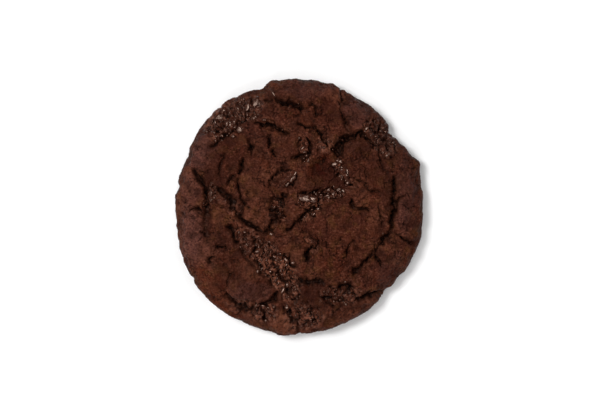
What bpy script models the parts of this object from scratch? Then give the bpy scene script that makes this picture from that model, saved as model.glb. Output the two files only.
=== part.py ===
"""A soft-baked double chocolate cookie, 88 mm long, lying on its flat base.

It is one solid. The dough spread into a low round with a broad rounded rim, and its crust
broke into plates that curl up a little along their edges, with torn crumb in the gaps.
Sizes are in millimetres and are turned into metres where the mesh is made. X runs to the
right and Y away from the viewer. A bearing is in degrees, anticlockwise from +X.
"""

import math

import bmesh
import bpy
import numpy as np
from mathutils import Matrix, Vector, noise

MM = 0.001

# The cookie's overall shape
HALF_WIDTH = 42.6
HALF_LENGTH = 44.0
CROWN_HEIGHT = 12.0
BELLY_HEIGHT = 4.2
FOOT_SHARE = 0.93
SHOULDER_SQUARENESS = 6.0
SHOULDER_ROUNDNESS = 2.1

# The broad rim stands a little proud of a shallow trough inside it
RIM_RISE = 0.5
RIM_SHARE = 0.82
TROUGH_DEPTH = 0.5
TROUGH_SHARE = 0.66
RIM_SPREAD = 0.08

# Where the edge swells out or stays short of the ellipse: name, bearing, spread, height
EDGE_SWELLS = (
    ("east shoulder", 20.0, 3.5, 1.3),
    ("north-east flat", 36.0, 9.0, -1.9),
    ("north-east bite", 39.5, 2.0, -0.5),
    ("north-east run-out", 60.0, 17.0, -1.4),
    ("north cap's corner", 100.5, 3.0, 1.2),
    ("north cap's step", 106.0, 2.4, -0.8),
    ("north-west swell", 131.0, 12.0, 1.3),
    ("west dip", 157.0, 4.0, -0.6),
    ("west notch", 170.5, 1.6, -0.6),
    ("west knuckle", 174.5, 2.0, 0.5),
    ("south-west swell", 217.0, 28.0, 1.6),
    ("south-west nick", 213.5, 1.3, -0.7),
    ("south piece", 261.5, 4.0, 0.5),
    ("south gap", 271.5, 2.0, -0.5),
    ("south flat", 292.0, 13.0, -1.3),
    ("south-east flat", 317.0, 11.0, -2.1),
    ("south-east notch", 316.0, 1.8, -0.6),
)

# Plates that bulge or lean up: name, centre, half length, half breadth, turn, height,
# steepness of the edge (2 is a soft mound, 6 a slab)
PLATES = (
    ("south-east disc", (12.8, -8.9), 15.4, 15.0, 0, 1.0, 6),
    ("tongue", (-15.0, 4.9), 5.4, 13.4, -8, 1.1, 4),
    ("wedge", (0.2, -0.4), 5.6, 4.4, 35, 0.9, 3),
    ("round plate", (-3.4, 22.2), 6.0, 5.4, 0, 0.7, 4),
    ("north cap", (1.4, 39.6), 12.6, 5.2, 0, 1.1, 4),
    ("north-east plate", (20.4, 31.6), 7.4, 6.0, -40, 0.8, 3),
    ("west rim plate", (-34.4, 19.6), 4.0, 8.4, -22, 0.8, 3),
    ("south-west dome", (-18.4, -26.2), 8.2, 7.0, 20, 2.2, 2),
    ("west plate", (-37.2, -9.4), 4.4, 12.4, 4, 0.6, 3),
    ("west inner plate", (-26.6, -4.4), 3.6, 5.0, 0, 0.6, 3),
    ("south piece", (-6.8, -39.6), 4.8, 4.0, 0, 0.9, 3),
    ("south-east rim plate", (15.6, -36.2), 10.8, 5.0, 25, 0.7, 3),
    ("gap plate", (19.8, 20.6), 4.2, 3.4, 0, 0.9, 4),
    ("west edge plate", (-38.0, 5.4), 3.6, 6.2, 0, 0.6, 3),
    ("centre plate", (-5.2, -12.4), 4.8, 4.6, 0, 0.7, 3),
    ("east plate", (24.2, 4.2), 5.8, 10.4, 15, 0.5, 3),
    ("north shelf", (0.8, 31.0), 11.8, 3.2, -10, 0.5, 3),
    ("north-west plate", (-22.8, 17.6), 5.4, 5.4, 0, 0.6, 3),
    ("crater", (-7.7, -0.4), 2.0, 4.2, 16, -3.0, 2),
    ("red hollow", (7.2, 13.0), 4.8, 5.4, 0, -1.6, 2),
    ("ring hollow", (-5.2, 9.6), 4.4, 2.8, 25, -1.0, 2),
)

# Seams where the crust split: name, start, end, bow to the left of that run, width, depth
SEAMS = (
    ("east rim, upper", (33.1, 10.8), (30.4, 4.2), 0.2, 1.3, 2.2),
    ("east rim, lower", (30.8, 4.2), (30.4, -7.5), 1.9, 1.9, 3.2),
    ("east rim hook", (32.4, 0.4), (36.2, 3.6), 0.7, 1.1, 1.6),
    ("south-east rim, top", (30.4, -7.5), (27.6, -13.7), 0.2, 1.6, 2.4),
    ("south-east rim, turn", (27.6, -13.7), (24.5, -15.1), 0.2, 1.1, 1.6),
    ("south-east rim, fork", (25.2, -14.8), (27.9, -20.9), 0.3, 1.2, 2.0),
    ("south-east rim, end", (25.2, -15.8), (18.3, -23.8), -1.2, 1.1, 2.0),
    ("south-east inner", (19.0, -10.9), (15.5, -17.8), -0.9, 1.0, 1.3),
    ("east rim nick", (33.7, -9.7), (39.6, -12.0), -0.4, 1.1, 1.6),
    ("north cap", (-8.3, 37.7), (2.1, 33.9), -0.9, 1.7, 3.0),
    ("north cap hook", (3.4, 35.6), (5.9, 30.8), 1.2, 1.1, 1.6),
    ("north divider, outer", (13.1, 40.8), (14.1, 34.9), 0.2, 1.1, 1.4),
    ("north divider, inner", (14.1, 34.9), (17.9, 24.9), -0.7, 1.1, 1.3),
    ("north-east gap", (18.4, 25.2), (11.2, 18.0), -0.2, 2.6, 4.0),
    ("north-east gap, tail", (17.9, 24.3), (22.8, 24.9), 0.5, 1.4, 2.6),
    ("north-east gap, end", (22.8, 24.9), (24.8, 20.1), 0.7, 1.2, 2.0),
    ("upper arch", (-15.2, 28.4), (-4.2, 25.2), 0.8, 1.6, 2.8),
    ("inner arch", (-1.4, 28.6), (9.7, 20.8), 1.9, 1.2, 2.2),
    ("round plate, right", (2.1, 24.6), (2.1, 17.7), 1.7, 1.2, 2.4),
    ("round plate, foot", (2.1, 17.7), (-3.4, 17.0), -0.3, 1.1, 2.0),
    ("north-west nick, long", (-11.0, 24.6), (-10.7, 19.8), 0.2, 1.1, 1.6),
    ("north-west nick, short", (-9.3, 19.4), (-7.9, 17.0), 0.0, 1.1, 1.4),
    ("north-west nick, left", (-18.1, 22.2), (-16.6, 17.4), 0.4, 1.3, 2.0),
    ("tongue, upper left", (-19.0, 16.3), (-21.7, 11.5), -0.3, 1.3, 2.2),
    ("tongue, branch", (-22.1, 11.1), (-23.4, 7.0), -0.8, 1.0, 1.4),
    ("tongue, lower left", (-21.4, 11.1), (-19.4, -0.9), -0.3, 1.1, 1.6),
    ("west band, outer", (-36.9, 12.5), (-31.7, 3.9), 0.8, 1.5, 2.2),
    ("west band, tail", (-32.1, 3.9), (-32.1, -1.6), 0.3, 1.4, 1.6),
    ("west valley", (-32.6, -0.6), (-32.0, -11.4), -0.4, 2.6, 1.2),
    ("west valley, low", (-31.0, -13.0), (-24.6, -20.4), -0.8, 1.8, 0.7),
    ("west band, inner", (-27.9, 7.3), (-22.1, -0.9), 0.2, 1.7, 2.0),
    ("diagonal", (-22.1, -0.9), (-13.1, -8.2), -0.7, 1.8, 2.8),
    ("diagonal, end", (-13.1, -8.2), (-10.0, -8.2), 0.3, 1.2, 2.0),
    ("crater neck", (-9.7, -8.5), (-9.4, -4.0), 0.2, 1.2, 2.0),
    ("crater head", (-7.2, 1.8), (-4.6, 4.6), 0.2, 1.2, 1.8),
    ("wedge crack", (6.9, 0.4), (-3.8, -7.5), -0.5, 1.4, 2.6),
    ("comma, outer", (5.5, -9.9), (3.1, -14.7), 1.0, 1.1, 1.6),
    ("comma, inner", (3.1, -12.3), (1.4, -17.8), 0.3, 1.4, 2.4),
    ("south lip", (-0.7, -24.6), (9.0, -25.8), -0.5, 3.0, 1.8),
    ("south-east slot", (11.4, -29.2), (18.6, -27.8), 1.4, 1.6, 2.6),
    ("south-east slot, outer", (17.9, -31.6), (27.9, -29.2), -0.3, 1.4, 2.4),
    ("south-east slot, inner", (6.9, -30.3), (13.1, -32.0), 0.3, 1.1, 1.6),
    ("dome foot", (-25.5, -28.9), (-13.1, -34.7), -3.2, 1.8, 3.2),
    ("dome foot, right", (-13.1, -34.4), (-7.9, -28.5), -0.5, 1.4, 2.4),
    ("dome foot, branch", (-19.7, -34.4), (-22.1, -37.6), 0.2, 1.2, 1.8),
    ("dome right", (-12.4, -21.6), (-9.7, -27.8), 0.5, 1.2, 1.6),
    ("dome left", (-23.2, -20.4), (-24.6, -27.9), -0.4, 1.0, 1.1),
    ("south seam, inner", (-5.5, -33.4), (-3.1, -38.2), 0.2, 1.6, 2.4),
    ("south seam, outer", (-4.3, -37.9), (0.6, -43.8), 0.9, 1.3, 1.8),
    ("south-west seam", (-12.8, -35.1), (-11.4, -40.3), 0.3, 1.4, 1.8),
    ("west nick", (-38.4, -1.6), (-33.8, -0.2), 0.2, 1.2, 2.0),
    ("south-west nick, upper", (-29.2, -14.1), (-24.3, -13.0), -0.2, 1.0, 1.6),
    ("south-west nick, lower", (-31.0, -19.8), (-28.4, -16.9), 0.2, 1.2, 2.0),
    ("second diagonal, upper", (-25.6, -6.6), (-20.7, -12.0), 0.4, 1.4, 1.8),
    ("second diagonal, lower", (-20.7, -13.4), (-13.1, -22.0), -0.7, 1.2, 1.4),
    ("hook", (-16.6, -9.6), (-17.2, -16.8), 1.7, 1.2, 2.0),
    ("centre tear, upper", (-10.0, -14.4), (-0.7, -20.6), 0.3, 1.3, 2.0),
    ("centre tear, lower", (-7.9, -20.9), (-3.1, -29.2), -0.3, 1.4, 2.0),
    ("east inner", (16.9, 3.2), (23.1, -1.6), -0.9, 1.3, 1.8),
    ("centre shelf", (-0.7, 4.6), (11.7, 4.6), 0.3, 1.6, 2.4),
    ("east hair", (27.6, 19.8), (30.0, 10.5), -0.7, 1.0, 1.4),
    ("east hair, slant", (17.9, 10.4), (27.9, 3.4), 0.3, 1.0, 1.4),
    ("north-west border", (-30.7, 20.8), (-23.1, 25.6), 0.5, 1.6, 2.2),
    ("west hair", (-26.6, 19.1), (-27.6, 10.5), -0.5, 1.0, 1.0),
    ("north-east rim nick", (27.6, 30.4), (27.6, 26.0), 0.0, 1.2, 1.8),
    ("ring, upper", (-10.2, 6.0), (-1.4, 11.5), 2.8, 1.0, 1.6),
    ("ring, lower", (-1.4, 11.1), (-5.9, 6.0), 1.0, 1.2, 2.0),
    ("east rim hair", (27.6, 0.8), (27.9, -5.1), 0.2, 1.0, 1.0),
    ("south shelf, upright", (4.1, -33.0), (3.8, -38.9), 0.2, 1.2, 1.5),
    ("south shelf, foot", (3.8, -38.9), (6.6, -40.4), 0.2, 1.1, 1.5),
    ("south shelf, slant", (8.6, -32.0), (12.1, -34.4), 0.2, 1.2, 1.5),
    ("north-west corner", (-12.1, 37.4), (-8.6, 37.4), 0.2, 1.2, 1.8),
)

# Ground where the crust is gone and crumb shows: name, centre, half length, half breadth,
# turn, how bare it is
TORN_GROUND = (
    ("north-west", (-23.1, 31.5), 11.7, 5.2, 28, 1.0),
    ("north-west, low", (-25.5, 25.3), 5.5, 2.4, 20, 0.9),
    ("north cap's foot", (-3.1, 34.9), 6.2, 1.7, -22, 0.5),
    ("upper arch", (-9.7, 28.0), 5.5, 1.7, -18, 0.6),
    ("round plate's foot", (1.0, 19.8), 2.1, 4.8, 10, 0.9),
    ("north-east", (27.6, 24.3), 7.6, 4.8, -50, 0.9),
    ("north-east gap", (14.6, 21.8), 4.1, 1.4, 45, 0.5),
    ("centre, upper", (14.3, 11.6), 2.0, 5.4, 33, 1.0),
    ("centre, lower", (7.6, 4.6), 9.0, 2.4, 6, 1.0),
    ("wedge's corner", (2.1, 2.5), 3.4, 2.1, 0, 0.8),
    ("ring", (-5.2, 9.4), 4.4, 2.8, 25, 0.35),
    ("crater", (-7.6, -0.4), 2.3, 4.8, 14, 0.8),
    ("wedge crack", (3.8, -1.6), 5.5, 1.7, 40, 0.7),
    ("west", (-30.6, 4.4), 2.4, 4.8, -20, 0.8),
    ("west band", (-25.0, 1.6), 14.0, 2.2, -40, 0.3),
    ("west middle", (-17.6, -12.3), 5.6, 5.2, -30, 0.4),
    ("south centre", (-7.4, -21.3), 13.0, 5.2, -56, 1.0),
    ("dome's foot", (-17.2, -34.4), 8.3, 3.1, -8, 0.5),
    ("south-west", (-12.4, -36.1), 5.2, 4.1, 0, 0.7),
    ("south", (1.0, -37.5), 6.9, 5.2, 0, 0.8),
    ("south-east", (14.0, -29.5), 7.6, 3.3, 5, 0.8),
    ("comma", (4.1, -12.7), 2.1, 4.1, 25, 0.5),
)

TORN_DEPTH = 0.8

# How bare of crust the bottom of a wide split is
OPENED = 0.5

# Blocks that torn crumb breaks into: size across, how much longer they are, bearing of their
# length, layer
CHUNK_SIZE = 1.6
CHUNK_STRETCH = 1.6
CHUNK_BEARING = 118
CHUNK_LAYER = 5

# As shares of a block's size: its rise or fall, its steepest lean, the depth of the gap round it
CHUNK_RISE = 0.3
CHUNK_LEAN = 0.75
CHUNK_GAP = 0.5
GAP_WIDTH = 0.25

# A split's edges curl up beside it
LIP_RISE = 0.4
LIP_REACH = 0.9

# A split wanders as dough does when it tears: size of the noise, reach, layer
WANDERINGS = ((5.0, 1.5, 3), (1.9, 0.8, 4))

# The crust's long waves and its rumples
WAVE_LENGTH = 9.0
WAVE_HEIGHT = 0.5
RUMPLE_SIZE = 3.6
RUMPLE_HEIGHT = 0.6

# The lumps of the bare side below the rim
LUMP_HEIGHT = 0.45
LUMP_LENGTH = 4.0
BASE_FADE = 2.2

# Fineness: rings and spokes of the first mesh, then the faces that are kept
RING_SPACING = 0.55
SPOKES = 460
KEPT_TRIANGLES = 11400

CRUST_COLOUR = (0.050, 0.0152, 0.0086, 1.0)
CRUST_ROUGHNESS = 0.55


def section():
    """Half of the cookie's cut face, as (share of the radius, height), from the centre of
    the top over the rim to the foot in even steps, and straight back to the centre."""
    fine = np.linspace(0, 1, 400)
    shoulder = (1 - fine**SHOULDER_SQUARENESS) ** (1 / SHOULDER_ROUNDNESS)
    top = BELLY_HEIGHT + (CROWN_HEIGHT - BELLY_HEIGHT) * shoulder
    top += RIM_RISE * np.exp(-(((fine - RIM_SHARE) / RIM_SPREAD) ** 2)) * shoulder
    top -= TROUGH_DEPTH * np.exp(-(((fine - TROUGH_SHARE) / RIM_SPREAD) ** 2))
    turn = np.linspace(0, math.pi / 2, 40)[1:]
    share = np.append(fine, FOOT_SHARE + (1 - FOOT_SHARE) * np.cos(turn))
    height = np.append(top, BELLY_HEIGHT * (1 - np.sin(turn)))
    steps = np.hypot(np.diff(share) * HALF_WIDTH, np.diff(height))
    run = np.append(0, np.cumsum(steps))
    even = np.linspace(0, run[-1], round(run[-1] / RING_SPACING))
    across = np.append(np.interp(even, run, share), 0)
    return across, np.append(np.interp(even, run, height), 0)


def edge_radius(x, y):
    """The cookie's radius at the bearing of each point."""
    bearing = np.degrees(np.arctan2(y, x))
    aim = np.radians(bearing)
    radius = 1 / np.hypot(np.cos(aim) / HALF_WIDTH, np.sin(aim) / HALF_LENGTH)
    for _, centre, spread, height in EDGE_SWELLS:
        away = (bearing - centre + 180) % 360 - 180
        radius = radius + height * np.exp(-((away / spread) ** 2))
    return radius


def smooth_noise(x, y, size, layer):
    """Smooth noise from -1 to 1 with lumps of about that size, another pattern on each layer."""
    return np.array(
        [noise.noise(Vector((px / size, py / size, layer))) for px, py in zip(x, y)]
    )


def wandered(x, y):
    """The same points pushed about by noise, so that what is drawn straight tears crooked."""
    for size, reach, layer in WANDERINGS:
        right = reach * smooth_noise(x, y, size, layer)
        away = reach * smooth_noise(x, y, size, layer + 20)
        x, y = x + right, y + away
    return x, y


def oval_reach(x, y, centre, half_length, half_breadth, turn):
    """How far out each point is in a turned oval: 0 at its centre, 1 on its edge."""
    aim = math.radians(turn)
    dx, dy = x - centre[0], y - centre[1]
    along = dx * math.cos(aim) + dy * math.sin(aim)
    aside = dy * math.cos(aim) - dx * math.sin(aim)
    return np.hypot(along / half_length, aside / half_breadth)


def bowed_line(x, y, start, end, bow):
    """Each point's distance from a bowed line, and its place along it from 0 to 1."""
    run = Vector(end) - Vector(start)
    length = run.length
    ux, uy = run / length
    dx, dy = x - start[0], y - start[1]
    along = dx * ux + dy * uy
    place = np.clip(along / length, 0, 1)
    aside = dy * ux - dx * uy - 4 * bow * place * (1 - place)
    return np.hypot(aside, along - place * length), place


def seam_relief(x, y):
    """(depth of the seams, rise of the curled lips beside them) at each point."""
    depth = np.zeros_like(x)
    lip = np.zeros_like(x)
    ragged = 1 + 0.55 * smooth_noise(x, y, 1.6, 31) + 0.35 * smooth_noise(x, y, 4.0, 32)
    for _, start, end, bow, width, deepest in SEAMS:
        distance, place = bowed_line(x, y, start, end, bow)
        taper = np.sqrt(1 - (2 * place - 1) ** 4 * 0.85)
        half = width / 2 * taper * ragged
        core = np.clip(1 - distance / (1.1 * half), 0, 1) ** 0.7
        bank = np.exp(-((distance / (0.3 + 1.4 * half)) ** 2))
        depth = np.maximum(depth, deepest * taper * (0.65 * core + 0.35 * bank))
        beside = np.exp(-(((distance - 2.4 * half) / LIP_REACH) ** 2))
        lip = np.maximum(lip, LIP_RISE * taper * beside)
    return depth, lip


def torn_share(x, y):
    """How bare of crust each point is, from 0 to 1."""
    bare = np.zeros_like(x)
    for _, *oval, strength in TORN_GROUND:
        inside = np.clip((1.15 - oval_reach(x, y, *oval)) / 0.3, 0, 1)
        bare = np.maximum(bare, strength * inside * inside * (3 - 2 * inside))
    return bare


def chunky(x, y):
    """Blocks, each at its own height and leaning its own way, with gaps between them: the
    height in millimetres."""
    heights = []
    aim = math.radians(CHUNK_BEARING)
    along = (x * math.cos(aim) + y * math.sin(aim)) / (CHUNK_SIZE * CHUNK_STRETCH)
    aside = (y * math.cos(aim) - x * math.sin(aim)) / CHUNK_SIZE
    for place in map(Vector, zip(along, aside, np.full_like(x, CHUNK_LAYER))):
        (nearest, second, *_), (centre, *_) = noise.voronoi(place)
        lean_x, lean_y, rise = 2 * noise.cell_vector(7 * centre) - Vector((1, 1, 1))
        off = place - centre
        gap = max(0, 1 - (second - nearest) / GAP_WIDTH)
        leaning = CHUNK_LEAN * (lean_x * off.x + lean_y * off.y)
        heights.append(CHUNK_SIZE * (CHUNK_RISE * rise + leaning - CHUNK_GAP * gap))
    return np.array(heights)


def plate_relief(x, y):
    """The height that bulging plates and hollows add."""
    height = np.zeros_like(x)
    for _, centre, half_length, half_breadth, turn, rise, steepness in PLATES:
        reach = oval_reach(x, y, centre, half_length, half_breadth, turn)
        height += rise * np.clip(1 - reach**steepness, 0, 1)
    return height


def crust_relief(x, y):
    """How far the crust stands above or below the plain turned shape."""
    wave = WAVE_HEIGHT * smooth_noise(x, y, WAVE_LENGTH, 9)
    rumple = np.array(
        [
            noise.fractal(Vector((px / RUMPLE_SIZE, py / RUMPLE_SIZE, 10)), 0.8, 2.0, 2)
            for px, py in zip(x, y)
        ]
    )
    x, y = wandered(x, y)
    depth, lip = seam_relief(x, y)
    bare = np.maximum(torn_share(x, y), OPENED * np.clip(depth / 2.2, 0, 1))
    plates = (plate_relief(x, y) + lip) * (1 - 0.6 * bare)
    crust = wave + plates + RUMPLE_HEIGHT * rumple * (1 - 0.5 * bare)
    return crust + bare * (chunky(x, y) - TORN_DEPTH) - depth * (1 - 0.35 * bare)


def turned_body():
    """The plain turned shape: the section carried round in even steps, closed at both poles."""
    body = bmesh.new()
    share, height = section()
    aims = np.linspace(0, math.tau, SPOKES, endpoint=False)
    rings = [
        [body.verts.new((out * math.cos(aim), out * math.sin(aim), up)) for aim in aims]
        for out, up in zip(share[1:-1], height[1:-1])
    ]
    for inner, outer in zip(rings, rings[1:]):
        for k in range(SPOKES):
            body.faces.new((inner[k - 1], outer[k - 1], outer[k], inner[k]))
    top = body.verts.new((0, 0, height[0]))
    base = body.verts.new((0, 0, 0))
    for k in range(SPOKES):
        body.faces.new((top, rings[0][k - 1], rings[0][k]))
        body.faces.new((base, rings[-1][k], rings[-1][k - 1]))
    return body


def shape_edge(body):
    """Pushes the turned shape out to the cookie's uneven edge."""
    for vert in body.verts:
        radius = edge_radius(vert.co.x, vert.co.y)
        vert.co.x *= radius
        vert.co.y *= radius
    body.normal_update()


def raise_relief(body):
    """Moves each point along its normal by the crust's relief, and leaves the base flat."""
    places = np.array([vert.co for vert in body.verts])
    relief = crust_relief(places[:, 0], places[:, 1])
    lumps = np.array([noise.noise(vert.co / LUMP_LENGTH) for vert in body.verts])
    on_side = np.clip((BELLY_HEIGHT + 4 - places[:, 2]) / 4, 0, 1)
    fade = np.clip(places[:, 2] / BASE_FADE, 0, 1) ** 2
    shift = fade * (relief * (1 - 0.5 * on_side) + LUMP_HEIGHT * lumps * on_side)
    for vert, amount in zip(body.verts, shift):
        vert.co += vert.normal * amount


def centre_on_base(body):
    """Puts the middle of the cookie's box over the origin, and its base at height 0."""
    places = np.array([vert.co for vert in body.verts])
    low, high = places.min(axis=0), places.max(axis=0)
    middle = (low + high) / 2
    bmesh.ops.translate(body, verts=body.verts, vec=(-middle[0], -middle[1], -low[2]))
    bmesh.ops.transform(body, matrix=Matrix.Scale(MM, 4), verts=body.verts)


def crust_material():
    material = bpy.data.materials.new("Baked cocoa crust")
    material.use_nodes = True
    shader = material.node_tree.nodes["Principled BSDF"]
    shader.inputs["Base Color"].default_value = CRUST_COLOUR
    shader.inputs["Roughness"].default_value = CRUST_ROUGHNESS
    shader.inputs["Metallic"].default_value = 0.0
    material.diffuse_color = CRUST_COLOUR
    return material


def make_cookie():
    body = turned_body()
    shape_edge(body)
    raise_relief(body)
    centre_on_base(body)
    bmesh.ops.triangulate(body, faces=body.faces)
    first_count = len(body.faces)
    mesh = bpy.data.meshes.new("cookie")
    body.to_mesh(mesh)
    body.free()
    mesh.shade_smooth()
    mesh.materials.append(crust_material())
    cookie = bpy.data.objects.new("cookie", mesh)
    bpy.context.scene.collection.objects.link(cookie)
    fewer = cookie.modifiers.new("Fewer faces where it is smooth", "DECIMATE")
    fewer.ratio = KEPT_TRIANGLES / first_count
    return cookie


def main():
    for old in list(bpy.data.objects):
        bpy.data.objects.remove(old)
    make_cookie()


main()
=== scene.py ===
"""A soft-baked double chocolate cookie on a white table, seen from straight above.

Sizes are in millimetres and are turned into metres where a mesh is made. A place is (x, y)
from the middle that the cookie's outline was read from, with X to the right and Y away
from the viewer. A bearing is in degrees, anticlockwise from +X.
"""

import math
import random

import bmesh
import bpy
import numpy as np
from mathutils import Matrix, Vector, noise
from mathutils.bvhtree import BVHTree


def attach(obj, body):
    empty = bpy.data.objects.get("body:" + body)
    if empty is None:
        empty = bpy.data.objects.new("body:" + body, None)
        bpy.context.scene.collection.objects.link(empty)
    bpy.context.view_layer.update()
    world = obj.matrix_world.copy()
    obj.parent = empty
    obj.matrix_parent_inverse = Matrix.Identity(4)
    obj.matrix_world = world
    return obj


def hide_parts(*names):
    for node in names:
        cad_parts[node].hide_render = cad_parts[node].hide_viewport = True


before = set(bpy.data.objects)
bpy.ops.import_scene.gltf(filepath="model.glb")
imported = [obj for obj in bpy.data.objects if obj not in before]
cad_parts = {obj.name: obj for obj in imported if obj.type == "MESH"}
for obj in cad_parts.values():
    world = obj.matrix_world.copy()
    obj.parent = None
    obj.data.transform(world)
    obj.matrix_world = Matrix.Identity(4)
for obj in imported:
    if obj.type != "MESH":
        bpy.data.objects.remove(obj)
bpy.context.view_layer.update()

# Cookie
# A drop of cocoa dough that spread into a low round as it baked. Its crust set first, then
# split into plates as the inside went on rising, and moist crumb shows torn in the gaps.

MM = 0.001

HALF_WIDTH = 42.6
HALF_LENGTH = 44.0
CROWN_HEIGHT = 12.0
BELLY_HEIGHT = 4.2
FOOT_SHARE = 0.93
SHOULDER_SQUARENESS = 6.0
SHOULDER_ROUNDNESS = 2.1

# The broad rim stands a little proud of a shallow trough inside it
RIM_RISE = 0.5
RIM_SHARE = 0.82
TROUGH_DEPTH = 0.5
TROUGH_SHARE = 0.66
RIM_SPREAD = 0.08

# From the middle that the outline was read from to the middle of its box
MIDDLE = (-0.414, 0.089)

# Where the edge swells out or stays short of the ellipse: name, bearing, spread, height
EDGE_SWELLS = (
    ("east shoulder", 20.0, 3.5, 1.3),
    ("north-east flat", 36.0, 9.0, -1.9),
    ("north-east bite", 39.5, 2.0, -0.5),
    ("north-east run-out", 60.0, 17.0, -1.4),
    ("north cap's corner", 102.6, 2.6, 1.3),
    ("north cap's step", 108.2, 2.4, -0.8),
    ("north-west swell", 131.0, 12.0, 1.3),
    ("west dip", 157.0, 4.0, -0.6),
    ("west notch", 170.5, 1.6, -0.6),
    ("west knuckle", 174.5, 2.0, 0.5),
    ("south-west swell", 217.0, 28.0, 1.6),
    ("south-west nick", 213.5, 1.3, -0.7),
    ("south piece", 261.5, 4.0, 0.5),
    ("south gap", 271.5, 2.0, -0.5),
    ("south flat", 292.0, 13.0, -1.3),
    ("south-east flat", 317.0, 11.0, -2.1),
    ("south-east notch", 316.0, 1.8, -0.6),
)

# Plates that bulge or lean up: name, centre, half length, half breadth, turn, height,
# steepness of the edge (2 is a soft mound, 6 a slab)
PLATES = (
    ("south-east disc", (12.8, -8.9), 15.4, 15.0, 0, 1.0, 6),
    ("tongue", (-15.0, 4.9), 5.4, 13.4, -8, 1.1, 4),
    ("wedge", (0.2, -0.4), 5.6, 4.4, 35, 0.9, 3),
    ("round plate", (-3.4, 22.2), 6.0, 5.4, 0, 0.7, 4),
    ("north cap", (1.4, 39.6), 12.6, 5.2, 0, 1.1, 4),
    ("north-east plate", (20.4, 31.6), 7.4, 6.0, -40, 0.8, 3),
    ("west rim plate", (-34.4, 19.6), 4.0, 8.4, -22, 0.8, 3),
    ("south-west dome", (-18.4, -26.2), 8.2, 7.0, 20, 2.2, 2),
    ("west plate", (-37.2, -9.4), 4.4, 12.4, 4, 0.6, 3),
    ("west inner plate", (-26.6, -4.4), 3.6, 5.0, 0, 0.6, 3),
    ("south piece", (-6.8, -39.6), 4.8, 4.0, 0, 0.9, 3),
    ("south-east rim plate", (15.6, -36.2), 10.8, 5.0, 25, 0.7, 3),
    ("gap plate", (19.8, 20.6), 4.2, 3.4, 0, 0.9, 4),
    ("west edge plate", (-38.0, 5.4), 3.6, 6.2, 0, 0.6, 3),
    ("centre plate", (-5.2, -12.4), 4.8, 4.6, 0, 0.7, 3),
    ("east plate", (24.2, 4.2), 5.8, 10.4, 15, 0.5, 3),
    ("north shelf", (0.8, 31.0), 11.8, 3.2, -10, 0.5, 3),
    ("north-west plate", (-22.8, 17.6), 5.4, 5.4, 0, 0.6, 3),
    ("crater", (-7.7, -0.4), 2.0, 4.2, 16, -3.0, 2),
    ("red hollow", (7.2, 13.0), 4.8, 5.4, 0, -1.6, 2),
    ("ring hollow", (-5.2, 9.6), 4.4, 2.8, 25, -1.0, 2),
)

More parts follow.
